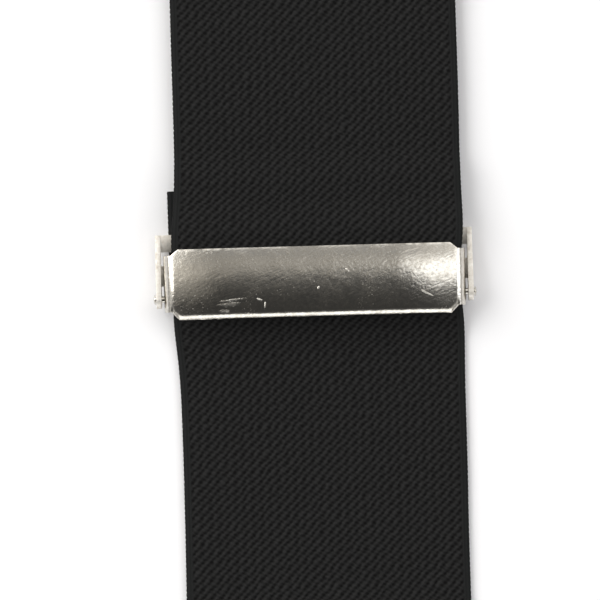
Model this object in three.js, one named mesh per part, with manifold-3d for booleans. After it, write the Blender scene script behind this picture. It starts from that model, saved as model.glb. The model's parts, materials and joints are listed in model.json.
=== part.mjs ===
// X-back trouser suspenders, laid out flat with their outer faces up.
// Two elastic webbing straps cross between two leather patch pieces.  Each strap
// ends in a lever clip at the back, and runs through a slide adjuster and a second
// lever clip at the front.
//
// Millimetres, +Z up.  The origin is the centre of the patch's underside, on the
// surface that the suspenders lie on.  The front clips point towards -Y.

import * as THREE from 'three';
import { mergeVertices } from 'three/addons/utils/BufferGeometryUtils.js';
import Module from 'manifold-3d';

const wasm = await Module();
wasm.setup();

// ---------------------------------------------------------------- driving sizes

// Clearance between neighbouring pieces, and the tighter one between flat side plates.
const GAP = 0.3;
const SIDE_GAP = 0.2;

// Webbing.
const WEBBING_WIDTH = 50;
const WEBBING_THICKNESS = 1.2;
const REAR_TAIL = 30;
const ADJUSTER_TAIL = 9.2;
const ADJUSTER_RAMP = 14;
const CROSS_RAMP = 16;
const CLIP_RAMP = 10;
const LAYER_RAMP = 6;
const TAIL_ROOM = 1.2;

// Layout of the straps, each measured along its strap from the centre of the patch.
const CROSS_ANGLE = THREE.MathUtils.degToRad(20);
const FRONT_ARM = 620;
const REAR_ARM = 270;
const ADJUSTER_TO_CLIP = 130;

// Leather patch.
const LEATHER_THICKNESS = 1.6;
const PATCH_REACH = 52;
const PATCH_MARGIN = 4;
const PATCH_CORNER = 5;

// Slide adjuster.  U is the distance from the middle of the cover towards the clip.
const COVER_LENGTH = 12.1;
const COVER_THICKNESS = 0.8;
const COVER_CROWN = 0.6;
const COVER_BEND = 2;
const COVER_CHAMFER = 1.3;
const COVER_LIP = 0.5;
const COVER_LIP_LENGTH = 0.8;
const EAR_MARGIN = 0.6;
const EAR_TO_ARM = 0.5;
const EAR_U_MAX = 5;
const EAR_U_MIN = -4.9;
const EAR_RADIUS = 1.6;
const PIVOT_U = -2.6;
const PIVOT_Z = 3.2;
const RIVET_RADIUS = 0.6;
const RIVET_HEAD_RADIUS = 1.1;
const RIVET_HEAD = 0.35;
const FRAME_ARM_THICKNESS = 1.3;
const FRAME_PLATE_THICKNESS = 1.2;
const FRAME_BAR_U = 7.2;
const FRAME_BAR_LENGTH = 3;
const TOOTH_PLATE_LENGTH = 3.6;
const TOOTH_THICKNESS = 0.8;
const TOOTH_HEIGHT = 1;
const TOOTH_COUNT = 15;
const CREST_U = 2;

// Lever clip.  V is the distance from the webbing bar towards the jaw.
const CLIP_BAR_RADIUS = 0.9;
const CLIP_SLOT = 3.7;
const CLIP_PLATE = 1.2;
const CLIP_SLOT_MARGIN = 1.2;
const CLIP_SIDE_ARM = 2.3;
const CLIP_LENGTH = 41;
const CLIP_SHOULDER_V = 9;
const CLIP_NECK_V = 25;
const CLIP_STEP = 4;
const CLIP_CORNER = 4;
const CLIP_PIVOT_V = 33;
const JAW_HALF_WIDTH = 14.5;
const CAM_RADIUS = 2.2;
const PAD_THICKNESS = 0.8;
const PAD_LAND = 3;
const PAD_GROOVES = 5;
const PAD_GROOVE_PITCH = 1.6;
const PAD_GROOVE_WIDTH = 0.6;
const PAD_GROOVE_DEPTH = 0.4;
const PIN_RADIUS = 0.8;
const PIN_HEAD_RADIUS = 1.4;
const PIN_HEAD = 0.5;
const LEVER_PLATE = 1;
const LEVER_REACH = 24;
const LEVER_FALL = 1.9;
const LEVER_CURL = 0.8;
const LEVER_FLARE = 3.5;
const LEVER_NOSE = 0.8;
const LEVER_FLANGE_LENGTH = 10;
const FLANGE_THICKNESS = 0.8;
const EAR_THICKNESS = 1;

// Fineness of round shapes.
const RAMP_STEPS = 6;
const TURN_STEPS = 8;
const ROUND_STEPS = 14;
const EPSILON = 0.01;

// ---------------------------------------------------------------- derived sizes

const HALF_WEBBING = WEBBING_WIDTH / 2;
const LAYER = WEBBING_THICKNESS + GAP;
const FLOOR_LEVEL = WEBBING_THICKNESS / 2;

const CLIP_TURN = CLIP_BAR_RADIUS + GAP + WEBBING_THICKNESS / 2;
const CLIP_BAR_Z = FLOOR_LEVEL + CLIP_TURN;
const CLIP_TOP_LEVEL = FLOOR_LEVEL + 2 * CLIP_TURN;

const FRAME_TURN = FRAME_PLATE_THICKNESS / 2 + GAP + WEBBING_THICKNESS / 2;
const FRAME_BAR_Z = FLOOR_LEVEL + FRAME_TURN;
const FRAME_RETURN_LEVEL = FLOOR_LEVEL + 2 * FRAME_TURN;
const FRAME_FRONT_LEVEL = FRAME_RETURN_LEVEL + LAYER;
const FRAME_BAR_INNER = FRAME_BAR_U - FRAME_BAR_LENGTH / 2;
const FRAME_BAR_OUTER = FRAME_BAR_U + FRAME_BAR_LENGTH / 2;

const COVER_UNDERSIDE = FRAME_FRONT_LEVEL + WEBBING_THICKNESS / 2 + GAP;
const EAR_INNER = HALF_WEBBING + EAR_MARGIN;
const EAR_OUTER = EAR_INNER + COVER_THICKNESS;
const ARM_INNER = EAR_OUTER + EAR_TO_ARM;
const ARM_OUTER = ARM_INNER + FRAME_ARM_THICKNESS;

const ADJUSTER_S = FRONT_ARM - ADJUSTER_TO_CLIP;
const TAIL_END_U = FRAME_BAR_U + ADJUSTER_TAIL;
const TOOTH_PLATE_U = FRAME_BAR_INNER - FRAME_TURN - WEBBING_THICKNESS / 2 - GAP;

const PAD_TOP = CLIP_PLATE + GAP + PAD_THICKNESS;
const CLIP_PIVOT_Z = PAD_TOP + GAP + CAM_RADIUS;
const FLANGE_INNER = JAW_HALF_WIDTH + GAP;
const FLANGE_OUTER = FLANGE_INNER + FLANGE_THICKNESS;
const CLIP_EAR_INNER = FLANGE_OUTER + GAP;
const CLIP_EAR_OUTER = CLIP_EAR_INNER + EAR_THICKNESS;
const CLIP_NECK_HALF = CLIP_EAR_OUTER + GAP;
const CLIP_SLOT_HALF = HALF_WEBBING + CLIP_SLOT_MARGIN;
const CLIP_HALF_WIDTH = CLIP_SLOT_HALF + CLIP_SIDE_ARM;

// ---------------------------------------------------------------- materials

const material = (color, roughness, metalness) =>
  new THREE.MeshStandardMaterial({ color, roughness, metalness });

const blackWebbing = () => material(0x252525, 0.9, 0);
const blackLeather = () => material(0x1b1918, 0.6, 0);
const nickel = () => material(0xb9b4ab, 0.22, 1);
const darkNylon = () => material(0x1d1d1f, 0.5, 0);

// ---------------------------------------------------------------- shape helpers

// A closed shape through [x, y] points.
const outline = (points) => new THREE.Shape(points.map(([x, y]) => new THREE.Vector2(x, y)));

// A polygon whose corners are rounded by quadratic curves that start `radius` from each corner.
function roundedOutline(points, radius) {
  const corners = points.map(([x, y]) => new THREE.Vector2(x, y));
  const towards = (from, to) => {
    const reach = Math.min(radius, from.distanceTo(to) / 2.5);
    return from.clone().lerp(to, reach / from.distanceTo(to));
  };
  const shape = new THREE.Shape();
  corners.forEach((corner, i) => {
    const before = corners.at(i - 1);
    const after = corners[(i + 1) % corners.length];
    const entry = towards(corner, before);
    const exit = towards(corner, after);
    if (i === 0) shape.moveTo(entry.x, entry.y);
    else shape.lineTo(entry.x, entry.y);
    shape.quadraticCurveTo(corner.x, corner.y, exit.x, exit.y);
  });
  shape.closePath();
  return shape;
}

// A shape drawn in (y, z) and extruded along X from x0 to x1.
function acrossX(shape, x0, x1, curveSegments = 4, steps = 1) {
  const geometry = new THREE.ExtrudeGeometry(shape, {
    depth: x1 - x0, bevelEnabled: false, curveSegments, steps,
  });
  const basis = new THREE.Matrix4().makeBasis(
    new THREE.Vector3(0, 1, 0), new THREE.Vector3(0, 0, 1), new THREE.Vector3(1, 0, 0));
  geometry.applyMatrix4(basis);
  geometry.translate(x0, 0, 0);
  return geometry;
}

// A shape drawn in (x, y) and extruded along Z from z0 to z1.
function upZ(shape, z0, z1, curveSegments = 4) {
  const geometry = new THREE.ExtrudeGeometry(shape, {
    depth: z1 - z0, bevelEnabled: false, curveSegments,
  });
  geometry.translate(0, 0, z0);
  return geometry;
}

// A cylinder along X from x0 to x1, round an axis at (y, z).
function rodX(radius, x0, x1, y, z) {
  const geometry = new THREE.CylinderGeometry(radius, radius, x1 - x0, ROUND_STEPS);
  geometry.rotateZ(Math.PI / 2);
  geometry.translate((x0 + x1) / 2, y, z);
  return geometry;
}

// A box between two opposite corners.
function box(x0, x1, y0, y1, z0, z1) {
  const geometry = new THREE.BoxGeometry(x1 - x0, y1 - y0, z1 - z0);
  geometry.translate((x0 + x1) / 2, (y0 + y1) / 2, (z0 + z1) / 2);
  return geometry;
}

// A closed geometry as a solid that can be joined and cut.
function solid(geometry) {
  const bare = geometry.clone();
  bare.deleteAttribute('normal');
  bare.deleteAttribute('uv');
  const merged = mergeVertices(bare, 1e-4);
  return new wasm.Manifold(new wasm.Mesh({
    numProp: 3,
    vertProperties: new Float32Array(merged.attributes.position.array),
    triVerts: new Uint32Array(merged.index.array),
  }));
}

// The solid's surface as a geometry.
function surface(manifold) {
  const mesh = manifold.getMesh();
  const geometry = new THREE.BufferGeometry();
  geometry.setAttribute('position', new THREE.BufferAttribute(mesh.vertProperties, 3));
  geometry.setIndex(new THREE.BufferAttribute(mesh.triVerts, 1));
  geometry.computeVertexNormals();
  return geometry;
}

function piece(name, geometry, finish) {
  const mesh = new THREE.Mesh(geometry, finish);
  mesh.name = name;
  return mesh;
}

// ---------------------------------------------------------------- webbing

// The middle line of a webbing strap, in (s, z): s runs along the strap, z is height.
class WebbingPath {
  constructor(s, z) {
    this.points = [new THREE.Vector2(s, z)];
  }

  get end() {
    return this.points.at(-1);
  }

  // Straight on to s at the present height.
  run(s) {
    this.points.push(new THREE.Vector2(s, this.end.y));
    return this;
  }

  // A smooth rise or fall to the height z at s.
  ramp(s, z) {
    const from = this.end.clone();
    for (let i = 1; i <= RAMP_STEPS; i += 1) {
      const t = i / RAMP_STEPS;
      const height = from.y + (z - from.y) * THREE.MathUtils.smoothstep(t, 0, 1);
      this.points.push(new THREE.Vector2(from.x + (s - from.x) * t, height));
    }
    return this;
  }

  // A half turn round a bar: side is +1 or -1, the direction that the turn bulges in along s.
  turn(side, radius) {
    const from = this.end.clone();
    const rising = this.end.y < radius + FLOOR_LEVEL;
    const middle = from.y + (rising ? radius : -radius);
    for (let i = 1; i <= TURN_STEPS; i += 1) {
      const angle = Math.PI * (i / TURN_STEPS - 0.5);
      const height = middle + radius * Math.sin(angle) * (rising ? 1 : -1);
      this.points.push(new THREE.Vector2(from.x + side * radius * Math.cos(angle), height));
    }
    return this;
  }

  // The closed outline of the webbing, half its thickness to each side of the line.
  outline(thickness) {
    const sides = [1, -1].map((side) => this.points.map((point, i) => {
      const before = this.points[Math.max(i - 1, 0)];
      const after = this.points[Math.min(i + 1, this.points.length - 1)];
      const into = point.clone().sub(before).normalize();
      const out = after.clone().sub(point).normalize();
      const along = into.add(out).normalize();
      const normal = new THREE.Vector2(-along.y, along.x);
      return point.clone().addScaledVector(normal, side * thickness / 2);
    }));
    return new THREE.Shape([...sides[0], ...sides[1].reverse()]);
  }
}

// One whole strap.  It starts at the sewn tail behind the rear clip, crosses the patch at
// crossLevel for crossReach to each side, passes through the adjuster, turns round the
// front clip's bar and comes back under itself to the adjuster's bar, where it is sewn.
function webbingPath(crossLevel, crossReach) {
  const stack = (n) => FLOOR_LEVEL + n * LAYER;
  const rearTailEnd = -REAR_ARM + REAR_TAIL;
  const overTail = ADJUSTER_S + TAIL_END_U + TAIL_ROOM;
  const barOuter = ADJUSTER_S + FRAME_BAR_OUTER;
  const barInner = ADJUSTER_S + FRAME_BAR_INNER;

  return new WebbingPath(rearTailEnd, FLOOR_LEVEL)
    .run(-REAR_ARM)
    .turn(-1, CLIP_TURN)
    .ramp(-REAR_ARM + CLIP_RAMP, stack(1))
    .run(rearTailEnd + TAIL_ROOM)
    .ramp(rearTailEnd + TAIL_ROOM + LAYER_RAMP, FLOOR_LEVEL)
    .run(-crossReach - CROSS_RAMP)
    .ramp(-crossReach, crossLevel)
    .run(crossReach)
    .ramp(crossReach + CROSS_RAMP, FLOOR_LEVEL)
    .run(ADJUSTER_S + CREST_U - ADJUSTER_RAMP)
    .ramp(ADJUSTER_S + CREST_U, FRAME_FRONT_LEVEL)
    .run(barOuter)
    .ramp(barOuter + LAYER_RAMP, stack(2))
    .run(overTail)
    .ramp(overTail + LAYER_RAMP, stack(1))
    .run(FRONT_ARM - CLIP_RAMP)
    .ramp(FRONT_ARM, CLIP_TOP_LEVEL)
    .turn(1, CLIP_TURN)
    .run(overTail + LAYER_RAMP)
    .ramp(overTail, stack(1))
    .run(barOuter + LAYER_RAMP)
    .ramp(barOuter, FRAME_RETURN_LEVEL)
    .run(barInner)
    .turn(-1, FRAME_TURN)
    .run(ADJUSTER_S + TAIL_END_U);
}

function webbing(name, crossLevel, crossReach) {
  const shape = webbingPath(crossLevel, crossReach).outline(WEBBING_THICKNESS);
  return piece(name, acrossX(shape, -HALF_WEBBING, HALF_WEBBING), blackWebbing());
}

// ---------------------------------------------------------------- leather patch

// One lobe over each arm of the crossing straps, square to the strap.
function patchOutline() {
  const half = HALF_WEBBING + PATCH_MARGIN;
  const sin = Math.sin(CROSS_ANGLE);
  const cos = Math.cos(CROSS_ANGLE);
  const cornerX = PATCH_REACH * sin + half * cos;
  const cornerY = PATCH_REACH * cos - half * sin;
  const peak = PATCH_REACH / cos;
  const waist = half / cos;
  return roundedOutline([
    [cornerX, cornerY], [0, peak], [-cornerX, cornerY], [-waist, 0],
    [-cornerX, -cornerY], [0, -peak], [cornerX, -cornerY], [waist, 0],
  ], PATCH_CORNER);
}

function patchLeather(name, bottom) {
  const geometry = upZ(patchOutline(), bottom, bottom + LEATHER_THICKNESS);
  return piece(name, geometry, blackLeather());
}

// ---------------------------------------------------------------- slide adjuster

// A shape drawn in (x, z) and extruded along Y from y0 to y1.
function alongY(shape, y0, y1, curveSegments = 4, steps = 1) {
  const geometry = new THREE.ExtrudeGeometry(shape, {
    depth: y1 - y0, bevelEnabled: false, curveSegments, steps,
  });
  const basis = new THREE.Matrix4().makeBasis(
    new THREE.Vector3(1, 0, 0), new THREE.Vector3(0, 0, 1), new THREE.Vector3(0, -1, 0));
  geometry.applyMatrix4(basis);
  geometry.translate(0, y1, 0);
  return geometry;
}

// The cover's channel section: a flat web with a leg bent down at each end.
function coverSection(legBottom) {
  const top = COVER_UNDERSIDE + COVER_THICKNESS;
  const inner = COVER_BEND - COVER_THICKNESS;
  const bendX = EAR_OUTER - COVER_BEND;
  const bendZ = top - COVER_BEND;
  const shape = new THREE.Shape();
  shape.moveTo(EAR_OUTER, legBottom);
  shape.lineTo(EAR_OUTER, bendZ);
  shape.absarc(bendX, bendZ, COVER_BEND, 0, Math.PI / 2, false);
  shape.lineTo(-bendX, top);
  shape.absarc(-bendX, bendZ, COVER_BEND, Math.PI / 2, Math.PI, false);
  shape.lineTo(-EAR_OUTER, legBottom);
  shape.lineTo(-EAR_INNER, legBottom);
  shape.lineTo(-EAR_INNER, bendZ);
  shape.absarc(-bendX, bendZ, inner, Math.PI, Math.PI / 2, true);
  shape.lineTo(bendX, COVER_UNDERSIDE);
  shape.absarc(bendX, bendZ, inner, Math.PI / 2, 0, true);
  shape.closePath();
  return shape;
}

// Bows the web up along its length and turns its shoulder edge down into a lip.
function crownCover(geometry, legBottom) {
  const half = COVER_LENGTH / 2;
  const position = geometry.attributes.position;
  for (let i = 0; i < position.count; i += 1) {
    const u = position.getY(i);
    const z = position.getZ(i);
    const rise = COVER_CROWN * (1 - (u / half) ** 2);
    const lipDepth = Math.max(0, (-half + COVER_LIP_LENGTH - u) / COVER_LIP_LENGTH);
    const share = THREE.MathUtils.clamp((z - legBottom) / (COVER_UNDERSIDE - legBottom), 0, 1);
    position.setZ(i, z + share * (rise - COVER_LIP * lipDepth ** 2));
  }
  return geometry;
}

// The cover seen from its end: the web's full length above, an ear round the pivot below.
function coverSideOutline() {
  const half = COVER_LENGTH / 2 + 1;
  const high = COVER_UNDERSIDE + COVER_THICKNESS + COVER_CROWN + 1;
  const earTop = COVER_UNDERSIDE - COVER_LIP - SIDE_GAP;
  const shape = new THREE.Shape();
  shape.moveTo(-half, earTop);
  shape.lineTo(EAR_U_MIN, earTop);
  shape.lineTo(PIVOT_U - EAR_RADIUS, PIVOT_Z);
  shape.absarc(PIVOT_U, PIVOT_Z, EAR_RADIUS, Math.PI, 2 * Math.PI, false);
  shape.lineTo(EAR_U_MAX, earTop);
  shape.lineTo(half, earTop);
  shape.lineTo(half, high);
  shape.lineTo(-half, high);
  shape.closePath();
  return shape;
}

// The cover seen from above: chamfered corners, and shorter ears past the webbing's edges.
function coverPlanOutline() {
  const half = COVER_LENGTH / 2;
  const body = EAR_OUTER - COVER_CHAMFER;
  const past = EAR_OUTER + 1;
  const right = [
    [body - COVER_CHAMFER, -half], [body, Math.max(-half, EAR_U_MIN - COVER_CHAMFER / 4)],
    [past, EAR_U_MIN], [past, EAR_U_MAX],
    [body, EAR_U_MAX + COVER_CHAMFER / 4], [body - COVER_CHAMFER, half],
  ];
  const left = right.map(([x, u]) => [-x, u]).reverse();
  return outline([...right, ...left]);
}

function adjusterCover(name) {
  const bowSteps = 6;
  const legBottom = PIVOT_Z - EAR_RADIUS - GAP;
  const half = COVER_LENGTH / 2;
  const lipStart = -half + COVER_LIP_LENGTH;
  const web = alongY(coverSection(legBottom), lipStart, half, 3, bowSteps);
  const lip = alongY(coverSection(legBottom), -half, lipStart, 3, 2);
  const channel = solid(crownCover(web, legBottom)).add(solid(crownCover(lip, legBottom)));
  const reach = EAR_OUTER + 1;
  const high = COVER_UNDERSIDE + COVER_THICKNESS + COVER_CROWN + 1;
  const shaped = channel
    .intersect(solid(acrossX(coverSideOutline(), -reach, reach, 8)))
    .intersect(solid(upZ(coverPlanOutline(), 0, high)));
  const bore = rodX(RIVET_RADIUS + GAP, -reach, reach, PIVOT_U, PIVOT_Z);
  return piece(name, surface(shaped.subtract(solid(bore))), nickel());
}

// The toothed edge that grips the webbing, as a comb on the frame's cross plate.
function toothComb(bottom, top) {
  const half = HALF_WEBBING - 2;
  const pitch = (2 * half) / TOOTH_COUNT;
  const points = [[-half, bottom], [half, bottom]];
  for (let i = 0; i < TOOTH_COUNT; i += 1) {
    const x = half - i * pitch;
    points.push([x, top - TOOTH_HEIGHT / 2], [x - pitch / 2, top]);
  }
  points.push([-half, top - TOOTH_HEIGHT / 2]);
  return outline(points);
}

// The frame behind the webbing: the bar that the sewn end turns round, the toothed cross
// plate, and a side arm outside each of the cover's ears.
function adjusterFrame(name) {
  const bottom = FRAME_BAR_Z - FRAME_PLATE_THICKNESS / 2;
  const top = FRAME_BAR_Z + FRAME_PLATE_THICKNESS / 2;
  const toothBack = TOOTH_PLATE_U - TOOTH_PLATE_LENGTH;
  const arm = new THREE.Shape();
  arm.moveTo(FRAME_BAR_OUTER, bottom);
  arm.lineTo(FRAME_BAR_OUTER, top);
  arm.lineTo(PIVOT_U, PIVOT_Z + EAR_RADIUS);
  arm.absarc(PIVOT_U, PIVOT_Z, EAR_RADIUS, Math.PI / 2, 1.5 * Math.PI, false);
  arm.closePath();
  const parts = [
    acrossX(arm, ARM_INNER, ARM_OUTER, 6),
    acrossX(arm, -ARM_OUTER, -ARM_INNER, 6),
    box(-ARM_INNER - EPSILON, ARM_INNER + EPSILON, FRAME_BAR_INNER, FRAME_BAR_OUTER, bottom, top),
    box(-ARM_INNER - EPSILON, ARM_INNER + EPSILON, toothBack, TOOTH_PLATE_U, bottom, top),
    alongY(toothComb(bottom + EPSILON, top + TOOTH_HEIGHT), toothBack, toothBack + TOOTH_THICKNESS),
  ];
  const whole = parts.map(solid).reduce((sum, next) => sum.add(next));
  const reach = ARM_OUTER + 1;
  const bore = rodX(RIVET_RADIUS + GAP, -reach, reach, PIVOT_U, PIVOT_Z);
  return piece(name, surface(whole.subtract(solid(bore))), nickel());
}

// A rivet through one arm and one ear, headed outside and clear of the webbing inside.
// Side is +1 or -1.
function adjusterRivet(name, side) {
  const inside = HALF_WEBBING + GAP;
  const outside = ARM_OUTER + SIDE_GAP;
  const rod = (radius, from, to) => {
    const [low, high] = [side * from, side * to].sort((a, b) => a - b);
    return solid(rodX(radius, low, high, PIVOT_U, PIVOT_Z));
  };
  const whole = rod(RIVET_RADIUS, inside, outside + RIVET_HEAD / 2)
    .add(rod(RIVET_HEAD_RADIUS, outside, outside + RIVET_HEAD));
  return piece(name, surface(whole), nickel());
}

function adjuster(name) {
  const group = new THREE.Group();
  group.add(
    adjusterCover(`${name}_cover`), adjusterFrame(`${name}_frame`),
    adjusterRivet(`${name}_rivet_1`, -1), adjusterRivet(`${name}_rivet_2`, 1));
  return group;
}

// ---------------------------------------------------------------- lever clip

// The stamped base: a webbing bar across the wide end, a plate that narrows and steps down
// to the surface below, and two ears that carry the lever's pin.
function clipBase(name) {
  const start = -CLIP_BAR_RADIUS - CLIP_PLATE / 2;
  const slotEnd = CLIP_BAR_RADIUS + CLIP_SLOT;
  const high = CLIP_BAR_Z + CLIP_PLATE / 2;
  const low = high - CLIP_PLATE;
  const stepStart = CLIP_NECK_V - 1;
  const stepEnd = stepStart + CLIP_STEP;
  const side = outline([
    [start, low], [stepStart, low], [stepEnd, 0], [CLIP_LENGTH, 0],
    [CLIP_LENGTH, CLIP_PLATE], [stepEnd, CLIP_PLATE], [stepStart, high], [start, high],
  ]);
  const plan = roundedOutline([
    [CLIP_HALF_WIDTH, start], [CLIP_HALF_WIDTH, CLIP_SHOULDER_V], [CLIP_NECK_HALF, CLIP_NECK_V],
    [CLIP_NECK_HALF, CLIP_LENGTH], [-CLIP_NECK_HALF, CLIP_LENGTH],
    [-CLIP_NECK_HALF, CLIP_NECK_V], [-CLIP_HALF_WIDTH, CLIP_SHOULDER_V], [-CLIP_HALF_WIDTH, start],
  ], CLIP_CORNER / 2);
  const ear = new THREE.Shape();
  const earRadius = CAM_RADIUS;
  ear.moveTo(CLIP_PIVOT_V - earRadius, CLIP_PLATE / 2);
  ear.lineTo(CLIP_PIVOT_V + earRadius, CLIP_PLATE / 2);
  ear.lineTo(CLIP_PIVOT_V + earRadius, CLIP_PIVOT_Z);
  ear.absarc(CLIP_PIVOT_V, CLIP_PIVOT_Z, earRadius, 0, Math.PI, false);
  ear.closePath();
  const reach = CLIP_HALF_WIDTH + 1;
  const plate = solid(acrossX(side, -reach, reach)).intersect(solid(upZ(plan, -1, high + 1, 3)));
  const slot = box(-CLIP_SLOT_HALF, CLIP_SLOT_HALF, start - 1, slotEnd, -1, high + 1);
  const bar = rodX(CLIP_BAR_RADIUS, -CLIP_SLOT_HALF - 1, CLIP_SLOT_HALF + 1, 0, CLIP_BAR_Z);
  const pinBore = rodX(PIN_RADIUS + GAP, -reach, reach, CLIP_PIVOT_V, CLIP_PIVOT_Z);
  const whole = plate
    .subtract(solid(slot))
    .add(solid(bar))
    .add(solid(acrossX(ear, CLIP_EAR_INNER, CLIP_EAR_OUTER, 6)))
    .add(solid(acrossX(ear, -CLIP_EAR_OUTER, -CLIP_EAR_INNER, 6)))
    .subtract(solid(pinBore));
  return piece(name, surface(whole), nickel());
}

// The lever: a plate over the base that ends in a finger curl, and two flanges that hang
// from it round the pin.  Drawn from the pin's axis.
function clipLever(name) {
  const under = PIN_RADIUS + GAP + FLANGE_THICKNESS / 2 + GAP + CAM_RADIUS / 10;
  const curlLength = 3;
  const level = 3;
  const fall = (v) => under - LEVER_FALL * Math.max(0, -v - level) / (LEVER_REACH - level - curlLength);
  const lower = [
    [-LEVER_REACH, fall(curlLength - LEVER_REACH) + LEVER_CURL],
    [curlLength - LEVER_REACH, fall(curlLength - LEVER_REACH)],
    [-level, under], [LEVER_NOSE, under],
  ];
  const upper = lower.map(([v, z]) => [v, z + LEVER_PLATE]).reverse();
  const plan = roundedOutline([
    [FLANGE_OUTER + LEVER_FLARE, -LEVER_REACH], [FLANGE_OUTER, -LEVER_FLANGE_LENGTH],
    [FLANGE_OUTER, LEVER_NOSE], [-FLANGE_OUTER, LEVER_NOSE],
    [-FLANGE_OUTER, -LEVER_FLANGE_LENGTH], [-FLANGE_OUTER - LEVER_FLARE, -LEVER_REACH],
  ], CLIP_CORNER);
  const flange = new THREE.Shape();
  flange.moveTo(LEVER_NOSE / 2, under + LEVER_PLATE / 2);
  flange.lineTo(-LEVER_FLANGE_LENGTH, fall(-LEVER_FLANGE_LENGTH) + LEVER_PLATE / 2);
  flange.absarc(0, 0, CAM_RADIUS, 1.15 * Math.PI, 2.25 * Math.PI, false);
  flange.closePath();
  const reach = FLANGE_OUTER + LEVER_FLARE + 1;
  const high = under + LEVER_PLATE + 1;
  const plate = solid(acrossX(outline([...lower, ...upper]), -reach, reach))
    .intersect(solid(upZ(plan, -CAM_RADIUS, high)));
  const bore = rodX(PIN_RADIUS + GAP, -reach, reach, 0, 0);
  const whole = plate
    .add(solid(acrossX(flange, FLANGE_INNER, FLANGE_OUTER, 8)))
    .add(solid(acrossX(flange, -FLANGE_OUTER, -FLANGE_INNER, 8)))
    .subtract(solid(bore));
  return piece(name, surface(whole), nickel());
}

// The nylon cam between the lever's flanges.  Its round tip presses the cloth on the pad.
function clipJaw(name) {
  const top = PIN_RADIUS + GAP + FLANGE_THICKNESS / 2;
  const back = -CAM_RADIUS - SIDE_GAP;
  const shape = new THREE.Shape();
  shape.moveTo(back, top);
  shape.lineTo(back, -CAM_RADIUS + GAP);
  shape.absarc(0, 0, CAM_RADIUS, 1.48 * Math.PI, 2.2 * Math.PI, false);
  shape.lineTo(PIN_RADIUS, top);
  shape.closePath();
  const whole = solid(acrossX(shape, -JAW_HALF_WIDTH, JAW_HALF_WIDTH, 8))
    .subtract(solid(rodX(PIN_RADIUS + GAP, -JAW_HALF_WIDTH - 1, JAW_HALF_WIDTH + 1, 0, 0)));
  return piece(name, surface(whole), darkNylon());
}

// The pin through the base's ears, the lever's flanges and the cam, headed at both ends.
function clipPin(name) {
  const end = CLIP_EAR_OUTER + SIDE_GAP;
  const whole = solid(rodX(PIN_RADIUS, -end - PIN_HEAD / 2, end + PIN_HEAD / 2, 0, 0))
    .add(solid(rodX(PIN_HEAD_RADIUS, -end - PIN_HEAD, -end, 0, 0)))
    .add(solid(rodX(PIN_HEAD_RADIUS, end, end + PIN_HEAD, 0, 0)));
  return piece(name, surface(whole), nickel());
}

// The nylon pad on the base that the cloth is pressed against: grooved under the cam, with
// a plain land at the mouth.
function clipPad(name) {
  const bottom = CLIP_PLATE + GAP;
  const mouth = CLIP_LENGTH - 1;
  const points = [[mouth, bottom], [mouth, PAD_TOP]];
  for (let i = 0; i < PAD_GROOVES; i += 1) {
    const start = mouth - PAD_LAND - i * PAD_GROOVE_PITCH;
    const end = start - PAD_GROOVE_WIDTH;
    const floor = PAD_TOP - PAD_GROOVE_DEPTH;
    points.push([start, PAD_TOP], [start, floor], [end, floor], [end, PAD_TOP]);
  }
  const back = mouth - PAD_LAND - PAD_GROOVES * PAD_GROOVE_PITCH;
  points.push([back, PAD_TOP], [back, bottom]);
  return piece(name, acrossX(outline(points), -JAW_HALF_WIDTH, JAW_HALF_WIDTH), darkNylon());
}

function clip(name) {
  const lever = new THREE.Group();
  lever.position.set(0, CLIP_PIVOT_V, CLIP_PIVOT_Z);
  lever.add(clipLever(`${name}_lever`), clipJaw(`${name}_jaw`), clipPin(`${name}_pin`));
  const group = new THREE.Group();
  group.add(clipBase(`${name}_base`), clipPad(`${name}_pad`), lever);
  return group;
}

// ---------------------------------------------------------------- assembly

// One strap with its adjuster and two clips, in a frame whose +Y runs to the front clip.
// The strap crosses the centre line, so its rear clip is on the other side.
function strap(side, otherSide, turn, crossLevel, crossReach) {
  const group = new THREE.Group();
  group.rotation.z = turn;
  const slide = adjuster(`${side}_adjuster`);
  slide.position.y = ADJUSTER_S;
  const frontClip = clip(`${side}_front_clip`);
  frontClip.position.y = FRONT_ARM;
  const rearClip = clip(`${otherSide}_rear_clip`);
  rearClip.position.y = -REAR_ARM;
  rearClip.rotation.z = Math.PI;
  group.add(webbing(`${side}_webbing`, crossLevel, crossReach), slide, frontClip, rearClip);
  return group;
}

const lowerLevel = LEATHER_THICKNESS + GAP + WEBBING_THICKNESS / 2;
const upperLevel = lowerLevel + LAYER;
const topLeather = upperLevel + WEBBING_THICKNESS / 2 + GAP;
const overlapReach = HALF_WEBBING / Math.sin(2 * CROSS_ANGLE) + HALF_WEBBING / Math.tan(2 * CROSS_ANGLE);

const suspenders = new THREE.Group();
suspenders.name = 'suspenders';
suspenders.add(
  patchLeather('patch_under_leather', 0),
  strap('left', 'right', Math.PI - CROSS_ANGLE, lowerLevel, PATCH_REACH + 1),
  strap('right', 'left', Math.PI + CROSS_ANGLE, upperLevel, overlapReach + 1),
  patchLeather('patch_top_leather', topLeather));

export default suspenders;
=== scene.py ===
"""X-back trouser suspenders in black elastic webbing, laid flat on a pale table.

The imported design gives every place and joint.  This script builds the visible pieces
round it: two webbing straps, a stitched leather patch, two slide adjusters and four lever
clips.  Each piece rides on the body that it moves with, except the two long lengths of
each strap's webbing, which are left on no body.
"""

import json
import logging
import math
import random
from dataclasses import dataclass, field
from enum import Enum
from functools import partial
from typing import Any, Callable, Iterable, Optional, Sequence

import bmesh
import bpy
from mathutils import Matrix, Vector, noise

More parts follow.
